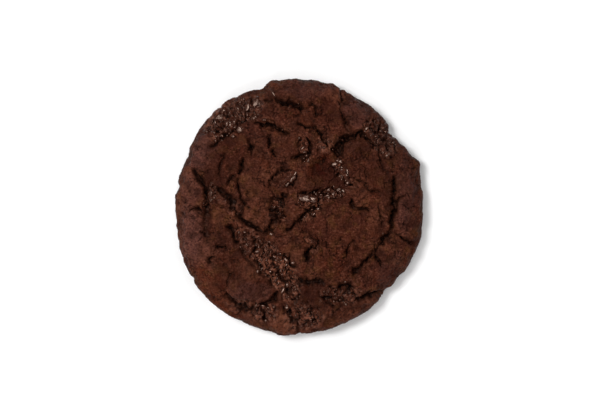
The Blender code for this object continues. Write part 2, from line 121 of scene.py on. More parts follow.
# Seams where the crust split: name, start, end, bow to the left of that run, width, depth
SEAMS = (
    ("east rim, upper", (33.1, 10.8), (30.4, 4.2), 0.2, 1.3, 2.2),
    ("east rim, lower", (30.8, 4.2), (30.4, -7.5), 1.9, 1.9, 3.2),
    ("east rim hook", (32.4, 0.4), (36.2, 3.6), 0.7, 1.1, 1.6),
    ("south-east rim, top", (30.4, -7.5), (27.6, -13.7), 0.2, 1.6, 2.4),
    ("south-east rim, turn", (27.6, -13.7), (24.5, -15.1), 0.2, 1.1, 1.6),
    ("south-east rim, fork", (25.2, -14.8), (27.9, -20.9), 0.3, 1.2, 2.0),
    ("south-east rim, end", (25.2, -15.8), (18.3, -23.8), -1.2, 1.1, 2.0),
    ("south-east inner", (19.0, -10.9), (15.5, -17.8), -0.9, 1.0, 1.3),
    ("east rim nick", (33.7, -9.7), (39.6, -12.0), -0.4, 1.1, 1.6),
    ("north cap", (-8.3, 37.7), (2.1, 33.9), -0.9, 1.7, 3.0),
    ("north cap hook", (3.4, 35.6), (5.9, 30.8), 1.2, 1.1, 1.6),
    ("north divider, outer", (13.1, 40.8), (14.1, 34.9), 0.2, 1.1, 1.4),
    ("north divider, inner", (14.1, 34.9), (17.9, 24.9), -0.7, 1.1, 1.3),
    ("north-east gap", (18.4, 25.2), (11.2, 18.0), -0.2, 2.6, 4.0),
    ("north-east gap, tail", (17.9, 24.3), (22.8, 24.9), 0.5, 1.4, 2.6),
    ("north-east gap, end", (22.8, 24.9), (24.8, 20.1), 0.7, 1.2, 2.0),
    ("upper arch", (-15.2, 28.4), (-4.2, 25.2), 0.8, 1.6, 2.8),
    ("inner arch", (-1.4, 28.6), (9.7, 20.8), 1.9, 1.2, 2.2),
    ("round plate, right", (2.1, 24.6), (2.1, 17.7), 1.7, 1.2, 2.4),
    ("round plate, foot", (2.1, 17.7), (-3.4, 17.0), -0.3, 1.1, 2.0),
    ("north-west nick, long", (-11.0, 24.6), (-10.7, 19.8), 0.2, 1.1, 1.6),
    ("north-west nick, short", (-9.3, 19.4), (-7.9, 17.0), 0.0, 1.1, 1.4),
    ("north-west nick, left", (-18.8, 24.0), (-16.4, 17.0), 0.5, 1.1, 1.9),
    ("tongue, upper left", (-19.0, 16.3), (-21.7, 11.5), -0.3, 1.3, 2.2),
    ("tongue, branch", (-22.1, 11.1), (-23.4, 7.0), -0.8, 1.0, 1.4),
    ("tongue, lower left", (-21.4, 11.1), (-19.4, -0.9), -0.3, 1.1, 1.6),
    ("west band, outer", (-36.9, 12.5), (-31.7, 3.9), 0.8, 1.5, 2.2),
    ("west band, tail", (-32.1, 3.9), (-32.1, -1.6), 0.3, 1.4, 1.6),
    ("west valley", (-32.6, -0.6), (-32.0, -11.4), -0.4, 2.6, 1.2),
    ("west valley, low", (-31.0, -13.0), (-24.6, -20.4), -0.8, 1.8, 0.7),
    ("west band, inner", (-27.9, 7.3), (-22.1, -0.9), 0.2, 1.7, 2.0),
    ("diagonal", (-22.1, -0.9), (-13.1, -8.2), -0.7, 1.8, 2.8),
    ("diagonal, end", (-13.1, -8.2), (-10.0, -8.2), 0.3, 1.2, 2.0),
    ("crater neck", (-9.7, -8.5), (-9.4, -4.0), 0.2, 1.2, 2.0),
    ("crater head", (-7.2, 1.8), (-4.6, 4.6), 0.2, 1.2, 1.8),
    ("wedge crack", (6.9, 0.4), (-3.8, -7.5), -0.5, 1.4, 2.6),
    ("comma, outer", (5.5, -9.9), (3.1, -14.7), 1.0, 1.1, 1.6),
    ("comma, inner", (3.1, -12.3), (1.4, -17.8), 0.3, 1.4, 2.4),
    ("south lip", (-0.7, -24.6), (9.0, -25.8), -0.5, 3.0, 1.8),
    ("south-east slot", (11.4, -29.2), (18.6, -27.8), 1.4, 1.6, 2.6),
    ("south-east slot, outer", (17.9, -31.6), (27.9, -29.2), -0.3, 1.4, 2.4),
    ("south-east slot, inner", (6.9, -30.3), (13.1, -32.0), 0.3, 1.1, 1.6),
    ("dome foot", (-25.5, -28.9), (-13.1, -34.7), -3.2, 1.8, 3.2),
    ("dome foot, right", (-13.1, -34.4), (-7.9, -28.5), -0.5, 1.4, 2.4),
    ("dome foot, branch", (-19.7, -34.4), (-22.1, -37.6), 0.2, 1.2, 1.8),
    ("dome right", (-12.4, -21.6), (-9.7, -27.8), 0.5, 1.2, 1.6),
    ("dome left", (-23.2, -20.4), (-24.6, -27.9), -0.4, 1.0, 1.1),
    ("south seam, inner", (-5.5, -33.4), (-3.1, -38.2), 0.2, 1.6, 2.4),
    ("south seam, outer", (-4.3, -37.9), (0.6, -43.8), 0.9, 1.3, 1.8),
    ("south-west seam", (-12.8, -35.1), (-11.4, -40.3), 0.3, 1.4, 1.8),
    ("west nick", (-38.4, -1.6), (-33.8, -0.2), 0.2, 1.2, 2.0),
    ("south-west nick, upper", (-29.2, -14.1), (-24.3, -13.0), -0.2, 1.0, 1.6),
    ("south-west nick, lower", (-31.0, -19.8), (-28.4, -16.9), 0.2, 1.2, 2.0),
    ("second diagonal, upper", (-25.6, -6.6), (-20.7, -12.0), 0.4, 1.4, 1.8),
    ("second diagonal, lower", (-20.7, -13.4), (-13.1, -22.0), -0.7, 1.2, 1.4),
    ("hook", (-16.6, -9.6), (-17.2, -16.8), 1.7, 1.2, 2.0),
    ("centre tear, upper", (-10.0, -14.4), (-0.7, -20.6), 0.3, 1.3, 2.0),
    ("centre tear, lower", (-7.9, -20.9), (-3.1, -29.2), -0.3, 1.4, 2.0),
    ("east inner", (16.9, 3.2), (23.1, -1.6), -0.9, 1.3, 1.8),
    ("centre shelf", (-0.7, 4.6), (11.7, 4.6), 0.3, 1.6, 2.4),
    ("east hair", (27.6, 19.8), (30.0, 10.5), -0.7, 1.0, 1.4),
    ("east hair, slant", (17.9, 10.4), (27.9, 3.4), 0.3, 1.0, 1.4),
    ("north-west border", (-30.7, 20.8), (-23.1, 25.6), 0.5, 1.6, 2.2),
    ("west hair", (-26.6, 19.1), (-27.6, 10.5), -0.5, 1.0, 1.0),
    ("north-east rim nick", (27.6, 30.4), (27.6, 26.0), 0.0, 1.2, 1.8),
    ("ring, upper", (-10.0, 6.2), (-1.0, 11.4), 4.2, 1.1, 1.6),
    ("ring, lower", (-1.4, 11.1), (-5.9, 6.0), 1.0, 1.2, 2.0),
    ("east rim hair", (27.6, 0.8), (27.9, -5.1), 0.2, 1.0, 1.0),
    ("south shelf, upright", (4.1, -33.0), (3.8, -38.9), 0.2, 1.2, 1.5),
    ("south shelf, foot", (3.8, -38.9), (6.6, -40.4), 0.2, 1.1, 1.5),
    ("south shelf, slant", (8.6, -32.0), (12.1, -34.4), 0.2, 1.2, 1.5),
    ("north-west corner", (-12.1, 37.4), (-8.6, 37.4), 0.2, 1.2, 1.8),
)

# Ground where the crust is gone and crumb shows: name, centre, half length, half breadth,
# turn, how bare it is
TORN_GROUND = (
    ("north-west", (-23.1, 31.5), 11.7, 5.2, 28, 1.0),
    ("north-west, low", (-25.5, 25.3), 5.5, 2.4, 20, 0.9),
    ("north cap's foot", (-3.1, 34.9), 6.2, 1.7, -22, 0.5),
    ("upper arch", (-9.7, 28.0), 5.5, 1.7, -18, 0.6),
    ("round plate's foot", (1.0, 19.8), 2.1, 4.8, 10, 0.9),
    ("north-east", (27.6, 24.3), 7.6, 4.8, -50, 0.9),
    ("north-east gap", (14.6, 21.8), 4.1, 1.4, 45, 0.5),
    ("north-east gap, west bank", (8.8, 21.2), 3.8, 2.8, -20, 0.6),
    ("centre, upper", (14.3, 11.6), 2.0, 5.4, 33, 1.0),
    ("centre, lower", (7.6, 4.6), 9.0, 2.4, 6, 1.0),
    ("wedge's corner", (2.1, 2.5), 3.4, 2.1, 0, 0.8),
    ("ring", (-5.2, 9.4), 4.4, 2.8, 25, 0.35),
    ("crater", (-7.6, -0.4), 2.3, 4.8, 14, 0.8),
    ("wedge crack", (3.8, -1.6), 5.5, 1.7, 40, 0.7),
    ("west", (-30.6, 4.4), 2.4, 4.8, -20, 0.8),
    ("west band", (-25.0, 1.6), 14.0, 2.2, -40, 0.4),
    ("west middle", (-17.2, -12.0), 7.2, 3.6, -50, 0.65),
    ("south centre", (-7.4, -21.3), 13.0, 5.2, -56, 1.0),
    ("dome's foot", (-17.2, -34.4), 8.3, 3.1, -8, 0.5),
    ("south-west", (-12.4, -36.1), 5.2, 4.1, 0, 0.7),
    ("south", (1.0, -37.5), 6.9, 5.2, 0, 0.8),
    ("south-east", (14.0, -29.5), 7.6, 3.3, 5, 0.8),
    ("comma", (4.1, -12.7), 2.1, 4.1, 25, 0.5),
)

TORN_DEPTH = 0.8

# A split opens onto crumb: how bare of crust it is at most, and from what depth on
OPENED = 0.5
OPENED_DEPTH = 2.2

# Blocks that torn crumb breaks into, large and small: size, layer
CHUNKS = ((1.6, 5), (0.9, 6))

# They are longer than wide and lie one way: stretch, bearing
CHUNK_STRETCH = 1.6
CHUNK_BEARING = 118

# As shares of a block's size: its rise or fall, its steepest lean, the depth of the gap round it
CHUNK_RISE = 0.3
CHUNK_LEAN = 0.75
CHUNK_GAP = 0.5
GAP_WIDTH = 0.25

# Spreads the blocks' centres over the noise that their leans are drawn from
LEAN_SPREAD = 7

# How much of their relief is worn away on the cookie's side
CRUMB_WORN = 0.6

# Pores: how far below its mean level torn crumb starts to get painted shade, and how dark the
# shade gets
PORE_DEPTH = 0.35
PORE_SHADE = 0.9

# Where crust gives way to crumb: the shares of its plates, its grain and its redness that
# are lost, and how far the crumb fills up a split that crosses it
PLATES_LOST = 0.6
GRAIN_LOST = 0.5
RED_LOST = 0.5
SPLIT_FILLED = 0.35

# How ragged a split's width is: share of the width, size of the noise, layer
RAGGEDNESS = ((0.55, 1.6, 31), (0.35, 4.0, 32))

# How much a split narrows towards its ends
END_TAPER = 0.85

# Its cut is a steep core between sloping banks: the core's reach in half widths, its share
# of the depth, the power of its fall, and the banks' reach in millimetres and half widths
CORE_REACH = 1.1
CORE_SHARE = 0.65
CORE_FALL = 0.7
BANK_MARGIN = 0.3
BANK_REACH = 1.4

# Its edges curl up, this many half widths out from its middle
LIP_PLACE = 2.4
LIP_RISE = 0.4
LIP_REACH = 0.9

# A split wanders as dough does when it tears: size of the noise, reach, layer
WANDERINGS = ((5.0, 1.5, 3), (1.9, 0.8, 4), (0.7, 0.4, 13))

# The crust's long waves, its rumples and its grain of small lumps
WAVE_LENGTH = 9.0
WAVE_HEIGHT = 0.5
WAVE_LAYER = 9
RUMPLE_SIZE = 3.6
RUMPLE_HEIGHT = 0.6
RUMPLE_LAYER = 10
GRAIN_SIZE = 1.5
GRAIN_HEIGHT = 0.5
GRAIN_LAYER = 44

# The grain comes and goes in patches: size, mean, contrast and least share, layer
GRAIN_PATCH = 7.0
GRAIN_MEAN = 0.5
GRAIN_CONTRAST = 1.5
GRAIN_LEAST = 0.15
GRAIN_PATCH_LAYER = 43

# How quickly finer waves on a wave get lower
FALL_OFF = 0.8

# Hairline cracks in the crust: spacing, half width as a share of it, depth, layer, and how dark
# the shade painted into them is
HAIR_SPACING = 4.5
HAIR_WIDTH = 0.06
HAIR_DEPTH = 0.6
HAIR_LAYER = 41
HAIR_SHADE = 0.5

# They come in patches: size, sharpness of the edge, how far they spread, layer
HAIR_PATCH = 6.0
HAIR_PATCH_EDGE = 4
HAIR_PATCH_SPREAD = 0.7
HAIR_PATCH_LAYER = 42

# The depth at which the shade painted into a split is darkest
DARKEST_DEPTH = 2.3

# How low a spot counts for the shade painted into it: on level ground, and more for each
# millimetre down in the crust's grain and in the crumb
LOW_ON_LEVEL = 0.45
LOW_BY_GRAIN = 0.9
LOW_BY_CRUMB = 0.6

# Where an oval's soft edge ends, in reaches of the oval, and its width: for a tone and for
# torn ground
TONE_END = 1.25
TONE_FADE = 0.6
TORN_END = 1.15
TORN_FADE = 0.3

# The side starts this far above the belly and loses a share of the top's relief
SIDE_REACH = 4.0
SIDE_SMOOTHING = 0.5

# It has lumps of its own, and all relief fades out at the base
LUMP_HEIGHT = 0.45
LUMP_LENGTH = 4.0
BASE_FADE = 2.2

# Steps in which the cut face's top and foot are worked out
TOP_STEPS = 400
FOOT_STEPS = 40

# Fineness of the turned mesh, how many cuts each edge then gets, and the faces that are kept
RING_SPACING = 1.0
SPOKES = 208
CUTS = 3
KEPT_TRIANGLES = 192000

# Five kinds of ground by their tone, each a list of soft-edged ovals: name, centre, half
# length, half breadth, turn, strength

# Crust that dried smooth, with a purple-grey sheen painted into its colour
SHEEN_GROUND = (
    ("west rim plate", (-33.4, 19.4), 3.6, 9.0, -22, 1.0),
    ("west edge plate", (-37.4, 6.0), 3.4, 6.0, 0, 0.7),
    ("west rim", (-37.2, -8.4), 4.0, 11.4, 6, 1.1),
    ("west rim, low", (-33.0, -15.0), 3.6, 6.0, 20, 0.6),
    ("dome", (-17.0, -29.4), 7.0, 3.4, 5, 1.0),
    ("north cap", (2.0, 40.0), 9.0, 3.0, 0, 0.6),
    ("north-east plate", (20.4, 31.2), 6.4, 4.4, -40, 0.9),
    ("east rim", (36.2, 4.0), 3.4, 13.0, 0, 0.8),
    ("south-east rim", (31.0, -21.0), 3.4, 7.0, -35, 0.6),
)

# Crust that stayed redder
RED_GROUND = (
    ("south-east disc", (12.4, -8.0), 14.0, 14.0, 0, 0.4),
    ("disc's foot", (12.0, -18.0), 6.0, 4.6, 30, 0.7),
    ("north-east", (22.0, 30.0), 9.0, 5.0, -40, 0.5),
    ("north shelf", (2.0, 32.0), 12.0, 4.0, -10, 0.5),
    ("north rim", (11.0, 37.0), 4.4, 3.4, -20, 0.5),
    ("red hollow", (7.4, 13.4), 4.6, 5.0, 0, 1.0),
    ("red hollow's floor", (7.0, 13.0), 1.6, 3.4, 10, 1.4),
    ("east plate", (22.0, 8.0), 6.0, 10.0, 15, 0.5),
    ("north-west plate", (-22.8, 17.0), 7.0, 6.0, 0, 0.5),
    ("south-west rim", (-27.0, -30.4), 16.0, 4.4, -52, 0.9),
)

# Deep hollows, where near-black shade is painted in
SHADED_HOLLOWS = (
    ("crater, upper", (-6.9, 2.0), 1.3, 2.2, 15, 0.9),
    ("crater, lower", (-8.7, -2.8), 1.8, 2.5, 20, 1.0),
    ("north-east gap", (15.4, 23.2), 3.2, 1.4, 42, 1.0),
    ("red hollow", (7.4, 13.4), 3.4, 4.0, 0, 0.4),
    ("dome's foot", (-19.7, -34.0), 1.4, 1.4, 0, 0.6),
    ("comma", (1.7, -16.8), 1.5, 2.0, 0, 0.7),
    ("west band", (-25.0, 3.2), 4.6, 1.6, -52, 0.4),
    ("west band, outer", (-34.2, 9.4), 3.4, 1.5, -55, 0.4),
    ("diagonal", (-17.6, -5.2), 4.6, 1.4, -38, 0.4),
    ("south lip", (3.2, -25.4), 4.8, 1.2, -5, 0.35),
)

# Crust that browned to a warmer, lighter tone, partly painted light on slopes that face the
# lamps, such as the dome's lit crescent and the tongue
WARM_AND_LIT_GROUND = (
    ("dome's foot", (-21.4, -31.2), 5.0, 1.3, -38, 1.2),
    ("south-west rim", (-29.0, -28.6), 9.0, 2.0, -48, 0.6),
    ("south piece", (-5.2, -39.8), 4.8, 4.2, 0, 0.85),
    ("south piece's edge", (-3.2, -41.4), 3.0, 2.4, 0, 1.2),
    ("south-east rim", (21.0, -34.0), 12.0, 3.2, 38, 0.4),
    ("west valley's foot", (-32.4, -16.2), 3.4, 4.0, 0, 1.0),
    ("west rim", (-38.2, -7.0), 3.8, 9.4, 0, 0.8),
    ("west knuckle", (-40.6, 0.4), 2.2, 4.0, 0, 1.0),
    ("west edge plate", (-38.0, 8.4), 3.0, 4.0, 0, 0.9),
    ("west rim plate", (-32.6, 21.2), 2.6, 2.6, 0, 0.6),
    ("west inner plate", (-28.2, -3.6), 2.4, 2.6, 0, 0.6),
    ("tongue", (-14.4, 2.6), 5.2, 10.6, -8, 0.45),
    ("tongue's head", (-18.8, 12.8), 2.8, 2.8, 0, 0.6),
    ("ring's bank", (-10.0, 10.6), 4.4, 2.4, 50, 0.9),
    ("ring's far bank", (0.8, 8.8), 2.4, 2.4, 0, 0.5),
    ("north-west nicks", (-15.8, 21.4), 3.0, 2.8, 0, 0.75),
    ("north rim", (14.0, 37.8), 6.4, 2.0, -8, 1.0),
    ("round plate's foot", (0.8, 17.0), 2.2, 1.8, 0, 0.6),
    ("gap plate, west", (11.8, 20.8), 3.4, 2.0, 25, 1.0),
    ("gap plate, head", (21.4, 25.8), 2.6, 2.0, 0, 0.9),
    ("east plate", (20.6, 5.4), 3.6, 6.0, 0, 0.7),
    ("east rim, high", (33.8, 8.8), 2.2, 2.6, 0, 0.6),
    ("east rim, low", (36.8, -10.6), 2.8, 4.0, 0, 0.55),
    ("rim's fork", (29.6, -12.6), 3.0, 3.0, 0, 0.5),
    ("disc's edge, east", (25.4, -3.6), 2.6, 3.0, 0, 0.6),
    ("wedge's tip", (4.0, -0.4), 3.4, 2.6, 35, 0.95),
    ("diagonal's end", (-11.8, -6.8), 2.4, 1.8, 0, 0.6),
    ("centre plate's foot", (-3.4, -18.2), 3.0, 4.6, 0, 0.95),
    ("south centre", (-8.0, -22.0), 12.0, 4.6, -56, 0.4),
    ("dome's head", (-15.8, -20.4), 2.6, 3.6, -40, 1.1),
    ("south lip", (4.8, -24.2), 3.4, 1.4, 0, 1.1),
)

# Crust that baked darker, partly painted shade on faces turned from the light, such as the
# dome's lower face
DARKER_AND_SHADED_GROUND = (
    ("dome", (-17.4, -26.6), 8.0, 6.4, 20, 0.65),
    ("dome's face", (-16.6, -28.6), 5.0, 2.2, 0, 1.0),
    ("dome, outside", (-24.6, -22.6), 7.4, 3.8, 43, 0.9),
    ("second diagonal", (-20.0, -14.0), 2.8, 5.0, 0, 1.05),
    ("west middle", (-16.2, -12.0), 4.4, 2.8, -50, 0.85),
    ("west inner, low", (-25.4, -13.0), 3.6, 6.4, 0, 0.6),
    ("west valley", (-32.2, -5.0), 1.8, 7.0, 0, 1.0),
    ("west band", (-29.4, 8.4), 4.4, 7.6, -8, 1.2),
    ("north-west plate", (-21.6, 17.0), 8.0, 5.6, 0, 0.6),
    ("north-west border", (-27.6, 20.4), 5.4, 3.4, 40, 0.95),
    ("north-west edge", (-33.0, 25.0), 3.0, 3.0, 0, 1.1),
    ("north-west", (-21.8, 31.6), 12.4, 6.4, 28, 1.2),
    ("north cap", (-0.6, 39.6), 10.0, 4.6, 0, 0.5),
    ("north shelf, west", (-1.6, 32.2), 6.0, 2.6, -20, 0.55),
    ("north shelf, east", (10.4, 32.4), 4.8, 4.4, 0, 0.9),
    ("north-east plate", (20.8, 32.2), 7.6, 5.0, -40, 0.55),
    ("north-east", (28.8, 24.2), 8.8, 5.6, -50, 1.35),
    ("gap plate", (21.4, 20.8), 3.4, 3.2, 0, 1.1),
    ("east plate, upper", (24.2, 11.8), 4.8, 3.8, -40, 1.0),
    ("east rim, inside", (29.7, 6.6), 2.8, 6.0, 0, 1.0),
    ("east rim", (37.4, 8.0), 3.6, 9.0, 0, 0.8),
    ("east edge", (38.6, -7.8), 2.4, 5.0, 0, 0.7),
    ("south-east rim", (31.0, -22.8), 3.4, 4.6, -35, 0.85),
    ("disc's edge", (26.2, -8.6), 2.6, 4.0, 0, 0.5),
    ("disc", (13.0, -7.8), 4.0, 3.4, 0, 0.5),
    ("east inner", (21.4, -3.8), 3.0, 3.0, 0, 0.6),
    ("centre", (10.2, 8.8), 9.0, 6.6, 20, 1.05),
    ("centre tear", (13.6, 8.6), 3.0, 2.6, 0, 1.4),
    ("round plate", (-3.4, 20.2), 3.2, 4.4, 0, 0.6),
    ("tongue", (-16.0, 8.8), 2.8, 4.0, -8, 0.5),
    ("crater's head", (-8.8, 5.2), 3.2, 2.2, 20, 0.6),
    ("ring", (-5.8, 9.8), 3.2, 1.8, 35, 0.8),
    ("centre plate", (-10.4, -13.4), 4.4, 2.6, -40, 1.0),
    ("dome's right foot", (-3.4, -28.4), 2.4, 2.4, 0, 1.2),
    ("south shelf", (4.4, -31.0), 7.6, 4.8, 12, 1.35),
    ("south-east slots", (15.0, -31.0), 9.0, 4.0, 5, 0.8),
    ("south lip, left", (0.4, -24.8), 3.2, 2.0, 0, 0.7),
    ("south lip, right", (9.2, -24.6), 2.4, 1.8, 0, 0.6),
    ("south seam", (0.8, -41.0), 2.4, 1.8, 0, 0.8),
    ("south-west", (-11.8, -36.8), 2.6, 2.2, 0, 0.7),
)


def section():
    """Half of the cookie's cut face, as (share of the radius, height), from the centre of
    the top over the rim to the foot in even steps, and straight back to the centre."""
    fine = np.linspace(0, 1, TOP_STEPS)
    shoulder = (1 - fine**SHOULDER_SQUARENESS) ** (1 / SHOULDER_ROUNDNESS)
    top = BELLY_HEIGHT + (CROWN_HEIGHT - BELLY_HEIGHT) * shoulder
    top += RIM_RISE * np.exp(-(((fine - RIM_SHARE) / RIM_SPREAD) ** 2)) * shoulder
    top -= TROUGH_DEPTH * np.exp(-(((fine - TROUGH_SHARE) / RIM_SPREAD) ** 2))
    turn = np.linspace(0, math.pi / 2, FOOT_STEPS)[1:]
    share = np.append(fine, FOOT_SHARE + (1 - FOOT_SHARE) * np.cos(turn))
    height = np.append(top, BELLY_HEIGHT * (1 - np.sin(turn)))
    steps = np.hypot(np.diff(share) * HALF_WIDTH, np.diff(height))
    run = np.append(0, np.cumsum(steps))
    even = np.linspace(0, run[-1], round(run[-1] / RING_SPACING))
    across = np.append(np.interp(even, run, share), 0)
    return across, np.append(np.interp(even, run, height), 0)


def edge_radius(x, y):
    """The cookie's radius at the bearing of each point."""
    bearing = np.degrees(np.arctan2(y, x))
    aim = np.radians(bearing)
    radius = 1 / np.hypot(np.cos(aim) / HALF_WIDTH, np.sin(aim) / HALF_LENGTH)
    for _, centre, spread, height in EDGE_SWELLS:
        away = (bearing - centre + 180) % 360 - 180
        radius = radius + height * np.exp(-((away / spread) ** 2))
    return radius


def smooth_noise(x, y, size, layer):
    """Smooth noise from -1 to 1 with lumps of about that size, another pattern on each layer."""
    points = zip(x / size, y / size)
    return np.array([noise.noise(Vector((*point, layer))) for point in points])


def wandered(x, y):
    """The same points pushed about by noise, so that what is drawn straight tears crooked."""
    for size, reach, layer in WANDERINGS:
        right = reach * smooth_noise(x, y, size, layer)
        away = reach * smooth_noise(x, y, size, layer + 20)
        x, y = x + right, y + away
    return x, y


def oval_reach(x, y, centre, half_length, half_breadth, turn):
    """How far out each point is in a turned oval: 0 at its centre, 1 on its edge."""
    aim = math.radians(turn)
    dx, dy = x - centre[0], y - centre[1]
    along = dx * math.cos(aim) + dy * math.sin(aim)
    aside = dy * math.cos(aim) - dx * math.sin(aim)
    return np.hypot(along / half_length, aside / half_breadth)


def bowed_line(x, y, start, end, bow):
    """Each point's distance from a bowed line, and its place along it from 0 to 1."""
    run = Vector(end) - Vector(start)
    length = run.length
    ux, uy = run / length
    dx, dy = x - start[0], y - start[1]
    along = dx * ux + dy * uy
    place = np.clip(along / length, 0, 1)
    aside = dy * ux - dx * uy - 4 * bow * place * (1 - place)
    return np.hypot(aside, along - place * length), place


def seam_relief(x, y):
    """(depth of the seams, rise of the curled lips beside them) at each point."""
    depth = np.zeros_like(x)
    lip = np.zeros_like(x)
    ragged = 1.0
    for share, size, layer in RAGGEDNESS:
        ragged = ragged + share * smooth_noise(x, y, size, layer)
    for _, start, end, bow, width, deepest in SEAMS:
        distance, place = bowed_line(x, y, start, end, bow)
        taper = np.sqrt(1 - (2 * place - 1) ** 4 * END_TAPER)
        half = width / 2 * taper * ragged
        core = np.clip(1 - distance / (CORE_REACH * half), 0, 1) ** CORE_FALL
        bank = np.exp(-((distance / (BANK_MARGIN + BANK_REACH * half)) ** 2))
        cut = CORE_SHARE * core + (1 - CORE_SHARE) * bank
        depth = np.maximum(depth, deepest * taper * cut)
        beside = np.exp(-(((distance - LIP_PLACE * half) / LIP_REACH) ** 2))
        lip = np.maximum(lip, LIP_RISE * taper * beside)
    return depth, lip


def oval_cover(x, y, ovals):
    """How far each point is covered by soft-edged ovals, from 0 to the oval's strength."""
    cover = np.zeros_like(x)
    for _, *oval, strength in ovals:
        reach = oval_reach(x, y, *oval)
        cover = np.maximum(cover, strength * np.clip((TONE_END - reach) / TONE_FADE, 0, 1))
    return cover


def torn_share(x, y):
    """How bare of crust each point is, from 0 to 1."""
    bare = np.zeros_like(x)
    for _, *oval, strength in TORN_GROUND:
        inside = np.clip((TORN_END - oval_reach(x, y, *oval)) / TORN_FADE, 0, 1)
        bare = np.maximum(bare, strength * inside * inside * (3 - 2 * inside))
    return bare


def lumpy(x, y, size, octaves, layer, down):
    """Rounded lumps with sharp creases between them, about 0 in a crease and 1 on a lump.
    Down is how far each point is below the top of the side."""
    points = zip(x / size, y / size, layer - down / size)
    return np.array([noise.turbulence(Vector(point), octaves, True) for point in points])


def chunky(x, y, size, layer, down):
    """Blocks of about that size, each at its own height and leaning its own way, with gaps
    between them: the height in millimetres."""
    heights = []
    aim = math.radians(CHUNK_BEARING)
    along = (x * math.cos(aim) + y * math.sin(aim)) / (size * CHUNK_STRETCH)
    aside = (y * math.cos(aim) - x * math.sin(aim)) / size
    for place in map(Vector, zip(along, aside, layer - down / size)):
        (nearest, second, *_), (centre, *_) = noise.voronoi(place)
        lean_x, lean_y, rise = 2 * noise.cell_vector(LEAN_SPREAD * centre) - Vector((1, 1, 1))
        off = place - centre
        gap = max(0, 1 - (second - nearest) / GAP_WIDTH)
        leaning = CHUNK_LEAN * (lean_x * off.x + lean_y * off.y)
        heights.append(size * (CHUNK_RISE * rise + leaning - CHUNK_GAP * gap))
    return np.array(heights)


def rumpled(x, y, size, octaves, layer, down):
    """Waves with ever finer waves on them, each half as long, from about -1 to 1."""
    points = zip(x / size, y / size, layer - down / size)
    return np.array([noise.fractal(Vector(point), FALL_OFF, 2.0, octaves) for point in points])


def hairlines(x, y, down):
    """Thin wandering cracks: 1 on a crack, 0 away from it."""
    line = np.abs(rumpled(x, y, HAIR_SPACING, 3, HAIR_LAYER, down))
    patches = smooth_noise(x, y, HAIR_PATCH, HAIR_PATCH_LAYER)
    somewhere = np.clip(HAIR_PATCH_EDGE * patches + HAIR_PATCH_SPREAD, 0, 1)
    return np.clip(1 - line / HAIR_WIDTH, 0, 1) * somewhere


def plate_relief(x, y):
    """The height that bulging plates and hollows add."""
    height = np.zeros_like(x)
    for _, centre, half_length, half_breadth, turn, rise, steepness in PLATES:
        reach = oval_reach(x, y, centre, half_length, half_breadth, turn)
        height += rise * np.clip(1 - reach**steepness, 0, 1)
    return height


# The section is spun round, pushed out to the uneven edge, and raised along its normals
body = bmesh.new()
ring = [body.verts.new((share, 0, height)) for share, height in zip(*section())]
for upper, lower in zip(ring, ring[1:]):
    body.edges.new((upper, lower))
bmesh.ops.spin(
    body,
    geom=body.verts[:] + body.edges[:],
    axis=(0, 0, 1),
    cent=(0, 0, 0),
    angle=math.tau,
    steps=SPOKES,
    use_merge=True,
)
bmesh.ops.remove_doubles(body, verts=body.verts, dist=1e-6)
bmesh.ops.recalc_face_normals(body, faces=body.faces)
bmesh.ops.subdivide_edges(body, edges=body.edges, cuts=CUTS, use_grid_fill=True)
cookie_mesh = bpy.data.meshes.new("cookie_body")
body.to_mesh(cookie_mesh)
body.free()

count = len(cookie_mesh.vertices)
places = np.empty(count * 3)
cookie_mesh.vertices.foreach_get("co", places)
places = places.reshape(-1, 3)
radius = edge_radius(places[:, 0], places[:, 1])
places[:, 0] *= radius
places[:, 1] *= radius
cookie_mesh.vertices.foreach_set("co", places.ravel())
cookie_mesh.update()
normals = np.empty(count * 3)
cookie_mesh.vertices.foreach_get("normal", normals)
normals = normals.reshape(-1, 3)

x, y, z = places.T
waves = WAVE_HEIGHT * smooth_noise(x, y, WAVE_LENGTH, WAVE_LAYER)
down = np.maximum(0, BELLY_HEIGHT + SIDE_REACH - z)
on_side = np.clip(down / SIDE_REACH, 0, 1)
rumple = rumpled(x, y, RUMPLE_SIZE, 4, RUMPLE_LAYER, down)
patches = smooth_noise(x, y, GRAIN_PATCH, GRAIN_PATCH_LAYER)
grain_share = np.clip(GRAIN_MEAN + GRAIN_CONTRAST * patches, GRAIN_LEAST, 1)
grain = grain_share * (lumpy(x, y, GRAIN_SIZE, 2, GRAIN_LAYER, down) - 0.5)
torn_x, torn_y = wandered(x, y)
split, lip = seam_relief(torn_x, torn_y)
bare = np.maximum(torn_share(torn_x, torn_y), OPENED * np.clip(split / OPENED_DEPTH, 0, 1))
hair = hairlines(x, y, down) * (1 - bare)
crumb = sum(chunky(torn_x, torn_y, *chunks, down) for chunks in CHUNKS)
crumb *= 1 - CRUMB_WORN * on_side
plates = (plate_relief(torn_x, torn_y) + lip) * (1 - PLATES_LOST * bare)
crust_grain = RUMPLE_HEIGHT * rumple + GRAIN_HEIGHT * grain - HAIR_DEPTH * hair
relief = waves + plates + crust_grain * (1 - GRAIN_LOST * bare)
relief += bare * (crumb - TORN_DEPTH) - split * (1 - SPLIT_FILLED * bare)
relief *= 1 - SIDE_SMOOTHING * on_side
lumps = np.array([noise.noise(Vector(place) / LUMP_LENGTH) for place in places])
fade = np.clip(z / BASE_FADE, 0, 1) ** 2
shift = fade * (relief + LUMP_HEIGHT * lumps * on_side)
places = places + normals * shift[:, None]
places[:, :2] -= MIDDLE
cookie_mesh.vertices.foreach_set("co", (places * MM).ravel())

